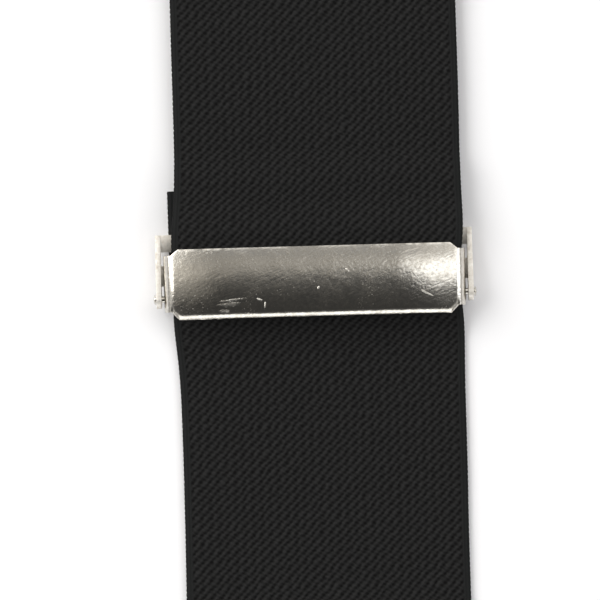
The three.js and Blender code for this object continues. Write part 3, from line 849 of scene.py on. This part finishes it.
@dataclass
class Strap:
    """One strap of webbing, from its rear clip across the patch to its front clip."""

    side: Side
    upper: bool
    joints: dict[str, dict]
    levels: Levels = field(default_factory=Levels)
    pivot_before_middle: float = 2.6
    clip_pivot: float = 33.0
    half_width: float = 25.0
    cross_reach: tuple[float, float] = (53.0, 69.67)
    still_until: float = 100.0
    blend_margin: float = 60.0
    clip_hold: float = 14.0
    seam_inset: float = 3.5
    stitch_pitch: float = 2.7
    stitch_lift: float = 0.08
    stitch: tuple[float, float, float] = (1.15, 0.32, 0.26)
    loose_threads: int = 90

    def __post_init__(self) -> None:
        """Reads the strap's direction and the places of its fittings from the joints."""
        name = self.side.value
        inward = Vector(self.joints[f"{name}_adjuster_slide"]["axis"])
        self.way = -inward.normalized()
        cover = Vector(self.joints[f"{name}_cover_lift"]["pos_m"]) / MM
        front = Vector(self.joints[f"{name}_front_clip_open"]["pos_m"]) / MM
        rear = Vector(self.joints[f"{self.side.other.value}_rear_clip_open"]["pos_m"]) / MM
        self.adjuster_s = cover.dot(self.way) + self.pivot_before_middle
        self.front_s = front.dot(self.way) - self.clip_pivot
        self.rear_s = rear.dot(self.way) + self.clip_pivot
        across = self.way.cross(Vector((0, 0, 1)))
        turn = Matrix((across, self.way, (0, 0, 1))).transposed().to_4x4()
        self.place = Matrix.Scale(MM, 4) @ turn
        self.adjuster_place = self.place @ Matrix.Translation((0, self.adjuster_s, 0))

    def point(self, s: float) -> Vector:
        """Returns the point on the table at s along the strap, in metres."""
        return self.way * (s * MM)

    def cross_level(self) -> float:
        """Returns the height of the strap's middle where it crosses the patch."""
        lower = self.levels.leather + self.levels.gap + self.levels.floor
        return lower + (self.levels.layer if self.upper else 0.0)

    def running_path(self) -> Path:
        """The line from the rear tail, round the rear clip's bar, to under the cover."""
        at = self.levels
        tail = self.rear_s + at.rear_tail
        reach = self.cross_reach[1 if self.upper else 0]
        path = Path(tail, at.floor)
        path.run(self.rear_s).turn(-1, at.clip_turn, True)
        path.ramp(self.rear_s + at.clip_ramp, at.floor + at.layer)
        path.run(tail + at.tail_room).ramp(tail + at.tail_room + at.layer_ramp, at.floor)
        path.run(-reach - at.cross_ramp).ramp(-reach, self.cross_level())
        path.run(reach).ramp(reach + at.cross_ramp, at.floor)
        path.run(self.adjuster_s + at.crest - at.adjuster_ramp)
        path.ramp(self.adjuster_s + at.crest, at.frame_front)
        path.settle()
        return path

    def return_path(self) -> Path:
        """The line from under the cover, round the front clip's bar, to the sewn tail."""
        at = self.levels
        middle = self.adjuster_s
        over_tail = middle + at.tail_end + at.tail_room
        outer, inner = middle + at.bar_outer, middle + at.bar_inner
        second, third = at.floor + at.layer, at.floor + 2 * at.layer
        path = Path(middle + at.crest, at.frame_front)
        path.run(outer).ramp(outer + at.layer_ramp, third)
        path.run(over_tail).ramp(over_tail + at.layer_ramp, second)
        path.run(self.front_s - at.clip_ramp).ramp(self.front_s, at.clip_top)
        path.turn(1, at.clip_turn, False)
        path.run(over_tail + at.layer_ramp).ramp(over_tail, second)
        path.run(outer + at.layer_ramp).ramp(outer, at.frame_return)
        path.run(inner).turn(-1, at.frame_turn, False)
        path.run(middle + at.tail_end)
        path.settle()
        return path

    def front_drift(self, s: float, z: float) -> float:
        """How far the strap lies to one side of the adjuster's middle, in mm."""
        u = s - self.adjuster_s
        beside = 1.05 - 0.75 * math.exp(-(u / 11) ** 2)
        near = math.exp(-(u / 160) ** 2)
        low_tail = z < 1.3 and -4 < u < 17
        return 0.25 if low_tail else beside * near

    def front_swell(self, s: float, z: float) -> float:
        """How much wider than its cut width each half of the strap lies, in mm."""
        u = s - self.adjuster_s
        if z < 1.3 and -4 < u < 17:
            return 0.75
        spread = 0.42 * math.exp(-((abs(u) - 8) / 7) ** 2)
        pinched = 0.22 * math.exp(-(u / 5) ** 2)
        return spread - pinched

    def is_fine(self, s: float) -> bool:
        """Whether the band needs close rings at s: at a bar, a fold or the adjuster."""
        near = [(self.adjuster_s, 58.0), (self.front_s, 13.0), (self.rear_s, 13.0)]
        return any(abs(s - place) < reach for place, reach in near)

    def band(self, path: Path, seed: float) -> Band:
        """Returns the strap's webbing on a line."""
        return Band(path, self.front_drift, self.front_swell, self.is_fine, seed=seed)

    def build(self) -> None:
        """Builds the strap's two lengths of webbing, its seams and its frayed tails."""
        node = f"{self.side.value}_webbing"
        slider, clip = f"{self.side.value}_adjuster", f"{self.side.value}_front_clip"
        middle = self.adjuster_s
        lengths = (
            ("running", self.running_path(), 3.0, ("straps", slider), self.still_until,
             middle - self.blend_margin, "laid", "patch_leather_under"),
            ("return", self.return_path(), 11.0, (slider, clip), middle + self.blend_margin / 2,
             self.front_s - self.clip_hold, "folded", f"{slider}_frame_stamping"))
        for name, path, seed, bodies, start, end, held, rest in lengths:
            piece = Piece(f"{node}_{name}", None, Slot.WEBBING, ElasticWebbing(), (node,))
            band = make_piece(self.band(path, seed).build(), piece, self.place, 60)
            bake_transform(band)
        self.build_seams()
        self.build_fray()

    def build_seams(self) -> None:
        """Sews the rear tail down with a boxed cross of lockstitches."""
        at = self.levels
        mesh = bmesh.new()
        top = at.floor + at.layer + at.floor + self.stitch_lift
        near, far = self.rear_s + 12.5, self.rear_s + at.rear_tail - 3
        edge = self.half_width - self.seam_inset
        corners = [Vector(p) for p in ((-edge, near), (edge, near), (edge, far), (-edge, far))]
        runs = list(zip(corners, corners[1:] + corners[:1]))
        runs += [(corners[0], corners[2]), (corners[1], corners[3])]
        for start, end in runs:
            stitch_row(
                mesh, start, end, self.stitch_pitch, lambda x, y: top, Vector(self.stitch))
        name = f"{self.side.value}_webbing_rear_seam"
        make_piece(mesh, Piece(name, "straps", Slot.WEBBING, BondedThread()), self.place)

    def build_fray(self) -> None:
        """Lets loose threads stand out of the cut end of the tail behind the adjuster."""
        chance = random.Random(41 if self.side is Side.LEFT else 42)
        mesh = bmesh.new()
        end = self.adjuster_s + self.levels.tail_end
        spread = self.half_width + 0.9
        for _ in range(self.loose_threads):
            across = chance.uniform(-spread + 0.3, spread)
            length = chance.uniform(0.25, 0.95)
            lean = chance.uniform(-0.6, 0.6)
            height = chance.uniform(0.2, 1.0)
            way = Matrix.Rotation(lean, 4, "Z") @ Matrix.Rotation(chance.uniform(-0.2, 0.3), 4, "X")
            place = Matrix.Translation((across, end + length / 2 - 0.1, height)) @ way
            shape = Matrix.Diagonal((0.09, length / 2 + 0.1, 0.09, 1))
            bmesh.ops.create_uvsphere(
                mesh, u_segments=6, v_segments=5, radius=1.0, matrix=place @ shape)
        name, body = f"{self.side.value}_webbing_tail_fray", f"{self.side.value}_adjuster"
        make_piece(mesh, Piece(name, body, Slot.WEBBING, BondedThread()), self.place)


# ---- leather patch


@dataclass
class Patch:
    """The two leather pieces that the crossing straps are sewn between, sizes in mm."""

    ways: tuple[Vector, Vector]
    levels: Levels = field(default_factory=Levels)
    reach: float = 52.0
    margin: float = 4.0
    corner: float = 5.0
    half_width: float = 25.0
    rounding: float = 0.45
    mesh_pitch: float = 2.0
    seam_inset: float = 2.4
    seam_gap: float = 2.6
    stitch_pitch: float = 3.2
    stitch_lift: float = 0.06
    stitch: tuple[float, float, float] = (1.3, 0.36, 0.3)

    def outline(self, inset: float = 0.0, rounded: bool = True) -> list[tuple[float, float]]:
        """Returns the patch's outline: a lobe square to each arm of the straps.

        Args:
            inset: How far inside the edge the line runs.
            rounded: Whether its corners are rounded.

        Returns:
            The points, anticlockwise.
        """
        half, reach = self.half_width + self.margin - inset, self.reach - inset
        way = self.ways[0]
        sine, cosine = abs(way.x), abs(way.y)
        corner = (reach * sine + half * cosine, reach * cosine - half * sine)
        peak, waist = reach / cosine, half / cosine
        half_way = [corner, (0, peak), (-corner[0], corner[1]), (-waist, 0)]
        points = half_way + [(-x, -y) for x, y in half_way]
        if not rounded:
            return points
        smooth: list[tuple[float, float]] = []
        for i, point in enumerate(points):
            here = Vector(point)
            before, after = Vector(points[i - 1]), Vector(points[(i + 1) % len(points)])
            entry = here + (before - here).normalized() * self.corner
            leave = here + (after - here).normalized() * self.corner
            for t in (0.0, 0.2, 0.4, 0.6, 0.8, 1.0):
                bent = entry.lerp(here, t).lerp(here.lerp(leave, t), t)
                smooth.append((bent.x, bent.y))
        return smooth

    def draped(self, x: float, y: float) -> float:
        """Returns how high the top leather's face lies over the straps at (x, y)."""
        at = self.levels
        flat_top = at.leather + at.gap + 2 * at.layer + at.leather
        low = flat_top - 1.9
        height = low
        for order, way in enumerate(self.ways):
            across = abs(x * way.y - y * way.x)
            crown = flat_top - (at.layer * 0.72 if order == 0 else 0.0)
            t = min(max((across - self.half_width + 3.5) / (self.margin + 3.5), 0.0), 1.0)
            fall = t * t * (3 - 2 * t)
            height = max(height, crown + (low - crown) * fall)
        swell = 0.12 * noise.noise(Vector((x / 17, y / 17, 2.0)))
        return min(height + swell, flat_top + 0.25)

    def leather(self, height: Callable[[float, float], float]) -> bmesh.types.BMesh:
        """Returns one leather piece whose face lies at height(x, y)."""
        mesh = blank(self.outline())
        cut_up(mesh, 0, steps(-44, 44, self.mesh_pitch))
        cut_up(mesh, 1, steps(-54, 54, self.mesh_pitch))
        for vertex in mesh.verts:
            vertex.co.z = height(vertex.co.x, vertex.co.y)
        thicken(mesh, self.levels.leather, self.rounding)
        return mesh

    def build(self) -> None:
        """Builds both leathers and the seam that joins them."""
        metres = Matrix.Scale(MM, 4)
        points = [Vector(p) for p in self.outline()]
        leathers = (
            ("under", lambda x, y: self.levels.leather, []),
            ("top", self.draped, ["left_webbing_running", "right_webbing_running"]))
        for layer, height, below in leathers:
            piece = Piece(
                f"patch_leather_{layer}", "straps", Slot.LEATHER, GrainedLeather(),
                (f"patch_{layer}_leather",))
            sheet = make_piece(self.leather(height), piece, metres)
        seam = bmesh.new()
        for inset, end_gap in ((self.seam_inset, 1.8), (self.seam_inset + self.seam_gap, 1.2)):
            corners = [Vector(p) for p in self.outline(inset, False)]
            for start, end in zip(corners, corners[1:] + corners[:1]):
                trim = (end - start).normalized() * end_gap
                stitch_row(
                    seam, start + trim, end - trim, self.stitch_pitch,
                    lambda x, y: self.draped(x, y) + self.stitch_lift, Vector(self.stitch))
        make_piece(seam, Piece("patch_seam", "straps", Slot.LEATHER, BondedThread()), metres)


# ---- slide adjuster


@dataclass
class Cover:
    """The adjuster's cover: a bowed nickel plate with an ear bent down at each end, in mm.

    It is formed as the real one is: a flat stamped blank, cut, crowned and bent.
    """

    high_u: float = 6.05
    low_u: float = -6.25
    top: float = 6.8
    thickness: float = 0.8
    crown: float = 0.6
    bend: float = 2.2
    half_width: float = 26.4
    chamfer: float = 1.3
    ear_top_u: float = 5.0
    ear_low_u: float = -4.9
    pivot_u: float = -2.6
    pivot_z: float = 3.2
    ear_radius: float = 1.6
    lip_width: float = 1.2
    lip_depth: float = 0.5
    sag_from: float = 14.0
    end_slope: float = 0.16
    twist: float = 0.0006
    rounding: float = 0.13

    def __post_init__(self) -> None:
        """Works out where the ends begin to droop and bend."""
        self.bend_start = self.half_width - self.bend * (1 - math.sin(self.end_slope))
        self.bend_end = self.bend_start + self.bend * (math.pi / 2 - self.end_slope)
        self.sag = math.tan(self.end_slope) * (self.bend_start - self.sag_from) / 2
        self.leg_top = self.top - self.sag - self.bend * math.cos(self.end_slope)

    def developed(self, z: float) -> float:
        """Returns how far from the middle of the flat blank a height on the leg lies."""
        return self.bend_end + self.leg_top - z

    def outline(self) -> list[tuple[float, float]]:
        """Returns the blank's outline, anticlockwise."""
        body = self.half_width - self.chamfer
        pivot = self.developed(self.pivot_z)
        shoulder = self.bend_end
        right = [(body - self.chamfer, self.low_u), (body, self.ear_low_u), (shoulder, self.ear_low_u)]
        right += arc((pivot, self.pivot_u), self.ear_radius, -90, 90, 10)
        right += [(shoulder, self.ear_top_u), (body, self.ear_top_u), (body - self.chamfer, self.high_u)]
        return right + [(-x, u) for x, u in reversed(right)]

    def lip(self, across: float, u: float) -> float:
        """Returns how far the shoulder edge is rolled down at a point of the blank."""
        corner = self.half_width - 2 * self.chamfer
        past = max(0.0, abs(across) - corner)
        slant = (self.ear_low_u - self.low_u) / self.chamfer
        edge = self.low_u + past * slant
        depth = min(max((edge + self.lip_width - u) / self.lip_width, 0.0), 1.2)
        fade = 1.0 if abs(across) < self.half_width - self.chamfer else 0.0
        return self.lip_depth * depth ** 2 * fade

    def formed(self, across: float, u: float) -> Vector:
        """Returns where a point of the flat blank goes once it is formed.

        Args:
            across: Its place across the blank, in mm from the middle.
            u: Its place along the strap, in mm from the middle.

        Returns:
            The point on the cover's outer face, in the adjuster's frame.
        """
        out = abs(across)
        drooped = max(0.0, min(out, self.bend_start) - self.sag_from)
        droop = self.sag * (drooped / (self.bend_start - self.sag_from)) ** 2
        turned = max(0.0, min(out, self.bend_end) - self.bend_start) / self.bend
        angle = self.end_slope + turned
        x = min(out, self.bend_start) + self.bend * (math.sin(angle) - math.sin(self.end_slope))
        fallen = self.bend * (math.cos(self.end_slope) - math.cos(angle))
        z = self.top - droop - fallen - max(0.0, out - self.bend_end)
        foot = self.pivot_z - self.ear_radius
        share = min(max((z - foot) / (self.top - foot), 0.0), 1.0)
        rise = self.crown * (1 - (u / self.high_u) ** 2)
        x = math.copysign(x, across)
        z += share * (rise - self.lip(across, u)) - self.twist * (x + 6) * u * share
        return Vector((x, u, z))

    def build(self) -> bmesh.types.BMesh:
        """Cuts, forms and thickens the blank, and returns it in the adjuster's frame."""
        mesh = blank(self.outline())
        far = self.developed(self.pivot_z - self.ear_radius)
        bends = steps(self.bend_start, self.bend_end, 0.22) + steps(self.bend_end, far, 0.8)
        across = steps(0, self.sag_from, 1.5) + steps(self.sag_from, self.bend_start, 0.5) + bends
        cut_up(mesh, 0, sorted({round(side * a, 4) for a in across for side in (-1, 1)}))
        low = self.low_u
        along = steps(low, low + self.lip_width * 1.3, 0.15)
        along += steps(low + self.lip_width * 1.3, self.high_u, 0.5)
        cut_up(mesh, 1, along)
        for vertex in mesh.verts:
            vertex.co = self.formed(vertex.co.x, vertex.co.y)
        thicken(mesh, self.thickness, self.rounding)
        return mesh


@dataclass
class Adjuster:
    """A slide adjuster on one strap: cover, frame and two rivets."""

    strap: Strap
    cover: Cover = field(default_factory=Cover)
    frame_rounding: float = 0.3
    rivet_radius: float = 0.6
    head_radius: float = 0.9
    head: float = 0.35
    arm_inner: float = 27.0
    arm_outer: float = 27.8
    arm_slimming: float = 0.67
    rod_inner: float = 25.3

    def build(self) -> None:
        """Builds the cover, the frame and the rivets."""
        name, place = self.strap.side.value, self.strap.adjuster_place
        mesh = self.cover.build()
        plate = mesh.loops.layers.uv.new("plate")
        for face in mesh.faces:
            for loop in face.loops:
                loop[plate].uv = (loop.vert.co.x * MM, loop.vert.co.y * MM)
        make_piece(
            mesh, Piece(
                f"{name}_adjuster_cover_plate", f"{name}_adjuster_cover", Slot.NICKEL,
                SCUFFED_NICKEL, (f"{name}_adjuster_cover",)), place, 50)
        frame = f"{name}_adjuster_frame"
        # The frame's colour carries a painted highlight: its nickel is painted paler so that the arms
        # read as brightly lit.
        make_piece(
            copy_of(frame, self.frame_rounding, self.slimmed),
            Piece(
                f"{frame}_stamping", f"{name}_adjuster", Slot.NICKEL, BARREL_NICKEL, (frame,)),
            Matrix.Scale(MM, 4))
        for number, side in ((1, -1), (2, 1)):
            self.build_rivet(f"{name}_adjuster_rivet_{number}", side)

    def slimmed(self, point: Vector) -> Vector:
        """Thins the frame's arms from outside, so that they are as thin as sheet steel.

        Args:
            point: A point of the frame, in mm in the shared frame.

        Returns:
            Where it goes.
        """
        own_frame = Matrix.Scale(1 / MM, 4) @ self.strap.adjuster_place
        own = own_frame.inverted() @ point
        past = abs(own.x) - self.arm_inner
        if past > 0:
            own.x = math.copysign(self.arm_inner + past * self.arm_slimming, own.x)
        return own_frame @ own

    def build_rivet(self, node: str, side: int) -> None:
        """Turns one rivet: a rod with a domed head outside the frame's arm.

        Args:
            node: The CAD node that it stands for.
            side: -1 or 1, the end of the adjuster that it is at.
        """
        mesh = bmesh.new()
        inner, face = self.rod_inner, self.arm_outer + 0.2
        dome = [(face + self.head * math.sin(a), self.head_radius * math.cos(a))
                for a in (math.pi / 2 * i / 6 for i in range(7))]
        profile = [(inner, 0.0), (inner, self.rivet_radius), (face, self.rivet_radius)]
        profile += dome
        line = [mesh.verts.new((x, radius, 0)) for x, radius in profile]
        edges = [mesh.edges.new(pair) for pair in zip(line, line[1:])]
        bmesh.ops.spin(
            mesh, geom=line + edges, axis=(1, 0, 0), cent=(0, 0, 0), angle=2 * math.pi, steps=24,
            use_merge=True)
        bmesh.ops.remove_doubles(mesh, verts=mesh.verts, dist=1e-4)
        where = Matrix.Translation((0, self.cover.pivot_u, self.cover.pivot_z))
        turn = Matrix.Rotation(math.pi if side < 0 else 0.0, 4, "Z")
        bmesh.ops.transform(mesh, matrix=where @ turn, verts=mesh.verts)
        bmesh.ops.recalc_face_normals(mesh, faces=mesh.faces)
        body = f"{self.strap.side.value}_adjuster"
        make_piece(
            mesh, Piece(f"{node}_turned", body, Slot.NICKEL, PolishedNickel(), (node,)),
            self.strap.adjuster_place)


# ---- lever clip


@dataclass
class Clip:
    """A lever clip: base, pad, pin, lever and jaw, sizes in mm."""

    name: str
    plate_rounding: float = 0.3
    small_rounding: float = 0.15

    def build(self) -> None:
        """Builds the clip's five pieces round the design's own."""
        lever, nickel, nylon = f"{self.name}_lever", Slot.NICKEL, Slot.NYLON
        steel, plastic, small = TUMBLED_NICKEL, MouldedNylon(), self.small_rounding
        parts = (
            ("base", self.name, nickel, steel, self.plate_rounding),
            ("pad", self.name, nylon, plastic, small), ("pin", self.name, nickel, steel, small),
            ("lever", lever, nickel, steel, self.plate_rounding),
            ("jaw", lever, nylon, plastic, small))
        for part, body, slot, finish, rounding in parts:
            node = f"{self.name}_{part}"
            make_piece(
                copy_of(node, rounding), Piece(f"{node}_made", body, slot, finish, (node,)),
                Matrix.Scale(MM, 4))


# ---- studio


@dataclass
class Studio:
    """A pale table under soft lights, and a camera straight above one adjuster.

    The room's stops are (cosine of the angle from its dim middle, glow).  Each light is
    its name, place, size, glow and colour, as build_light takes them.
    """

    strap: Strap
    lens: float = 200.0
    film: float = 36.0
    view_width: float = 105.6
    lean: float = 1.6
    right_of_view: float = -2.57
    above_view: float = -3.40
    floor_radius: float = 9.0
    room: tuple[tuple[float, float], ...] = (
        (0.12, 0.65), (0.45, 1.35), (0.66, 1.35), (0.80, 0.27), (0.927, 0.17), (0.965, 0.1))
    lights: tuple[tuple, ...] = (
        ("left_panel", (-1.0, 0.4, 0.85), (0.9, 1.1), 3.7, "FFFEFC"),
        ("right_panel", (1.25, 0.15, 0.8), (0.6, 0.9), 1.4, "F6F8FF"),
        ("upper_panel", (-0.1, 0.3, 1.5), (1.7, 0.3), 0.28, "E0D8CA"),
        ("corner_panel", (-0.62, 0.38, 1.5), (0.6, 0.36), 0.27, "F4EEE2"),
        ("side_panel", (-0.74, 0.0, 1.5), (0.6, 0.9), 0.2, "F4EEE2"),
        ("pane_panel", (0.28, 0.29, 1.5), (0.3, 0.3), 1.05, "FFFFFF"),
        ("window_panel", (0.65, 0.2, 1.5), (0.42, 0.7), 1.7, "FFFFFF"),
        ("front_panel", (0.0, -1.2, 0.5), (1.8, 0.6), 1.5, "FFFFFF"))

    def __post_init__(self) -> None:
        """Works out the picture's own directions on the table."""
        turned = Matrix.Rotation(math.radians(-self.lean), 4, "Z")
        self.up = (turned @ self.strap.way).normalized()
        self.right = self.up.cross(Vector((0, 0, 1)))
        self.middle = self.strap.point(self.strap.adjuster_s)

    def build_camera(self) -> None:
        """Sets the camera straight above the adjuster."""
        data = bpy.data.cameras.new("camera")
        data.lens = self.lens
        data.sensor_width = self.film
        data.clip_end = 100.0
        camera = bpy.data.objects.new("camera", data)
        away = self.view_width * self.lens / self.film
        place = self.middle + (self.right * self.right_of_view + self.up * self.above_view) * MM
        camera.location = (place.x, place.y, (away + 1.2) * MM)
        camera.rotation_euler = (0, 0, math.atan2(-self.up.x, self.up.y))
        bpy.context.scene.collection.objects.link(camera)
        bpy.context.scene.camera = camera

    def build_light(
        self, name: str, place: Sequence[float], size: tuple[float, float], glow: float, colour: str
    ) -> None:
        """Hangs one soft panel that faces the adjuster.

        Args:
            name: The light's name.
            place: Where it hangs: right, up and above, in metres from the adjuster.
            size: Its width and height, in metres.
            glow: How bright its face is, with 1 for white in the picture.
            colour: Its colour, as sRGB hex.
        """
        data = bpy.data.lights.new(name, "AREA")
        data.shape = "RECTANGLE"
        data.size, data.size_y = size
        data.energy = glow * math.pi * size[0] * size[1]
        data.color = linear(colour)[:3]
        lamp = bpy.data.objects.new(name, data)
        offset = self.right * place[0] + self.up * place[1] + Vector((0, 0, place[2]))
        lamp.location = self.middle + offset
        lamp.rotation_euler = offset.to_track_quat("Z", "Y").to_euler()
        lamp.visible_camera = False
        bpy.context.scene.collection.objects.link(lamp)

    def build_room(self) -> None:
        """Makes the room's light: pale walls, and a dim patch over the near side."""
        world = bpy.data.worlds.new("studio_room")
        bpy.context.scene.world = world
        world.use_nodes = True
        world.node_tree.nodes.clear()
        add = partial(add_node, world.node_tree)
        way = add("TexCoord", "Generated")
        dim_way = (Vector((0, 0, 1)) + self.up * -0.27 + self.right * -0.03).normalized()
        from_dim = add("VectorMath", "Value", {0: way, 1: dim_way}, operation="DOT_PRODUCT")
        ramp = add("ValToRGB", None, {0: from_dim})
        stops = ramp.color_ramp.elements
        stops[0].position, stops[1].position = 0.0, 1.0
        for place, glow in self.room:
            stops.new(place).color = (glow, glow * 0.985, glow * 0.96, 1.0)
        stops[0].color = stops[1].color
        stops[-1].color = stops[-2].color
        upward = add("VectorMath", "Value", {0: way, 1: self.up}, operation="DOT_PRODUCT")
        share = add(
            "MapRange", "Result",
            {"Value": upward, "From Min": -0.25, "From Max": 0.25, "To Min": 0.4},
            interpolation_type="SMOOTHSTEP")
        walls = add("Background", 0, {"Color": ramp.outputs["Color"], "Strength": share})
        add("OutputWorld", None, {"Surface": walls})

    def build_floor(self) -> None:
        """Lays the pale table under the object."""
        mesh = bmesh.new()
        bmesh.ops.create_circle(mesh, cap_ends=True, segments=64, radius=self.floor_radius)
        bmesh.ops.translate(mesh, verts=mesh.verts, vec=(0, 0, -0.05 * MM))
        data = bpy.data.meshes.new("table")
        mesh.to_mesh(data)
        mesh.free()
        data.materials.append(MattLaminate().material())
        table = bpy.data.objects.new("table", data)
        bpy.context.scene.collection.objects.link(table)

    def build(self) -> None:
        """Builds the room, the table and the lights, and sets the picture's tones."""
        bpy.context.scene.view_settings.view_transform = "Standard"
        self.build_room()
        self.build_floor()
        for light in self.lights:
            self.build_light(*light)


def main() -> None:
    """Builds the suspenders in order and reports each piece."""
    logging.basicConfig(level=logging.INFO, format="%(name)s: %(message)s")
    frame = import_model()
    joints = {joint["name"]: joint for joint in frame["joints"]}
    straps = [Strap(Side.LEFT, False, joints), Strap(Side.RIGHT, True, joints)]
    studio = Studio(straps[0])
    studio.build_camera()
    Patch((straps[0].way, straps[1].way)).build()
    for strap in straps:
        Adjuster(strap).build()
        strap.build()
    for side in Side:
        for end in ("front", "rear"):
            Clip(f"{side.value}_{end}_clip").build()
    studio.build()


if __name__ == "__main__":
    main()
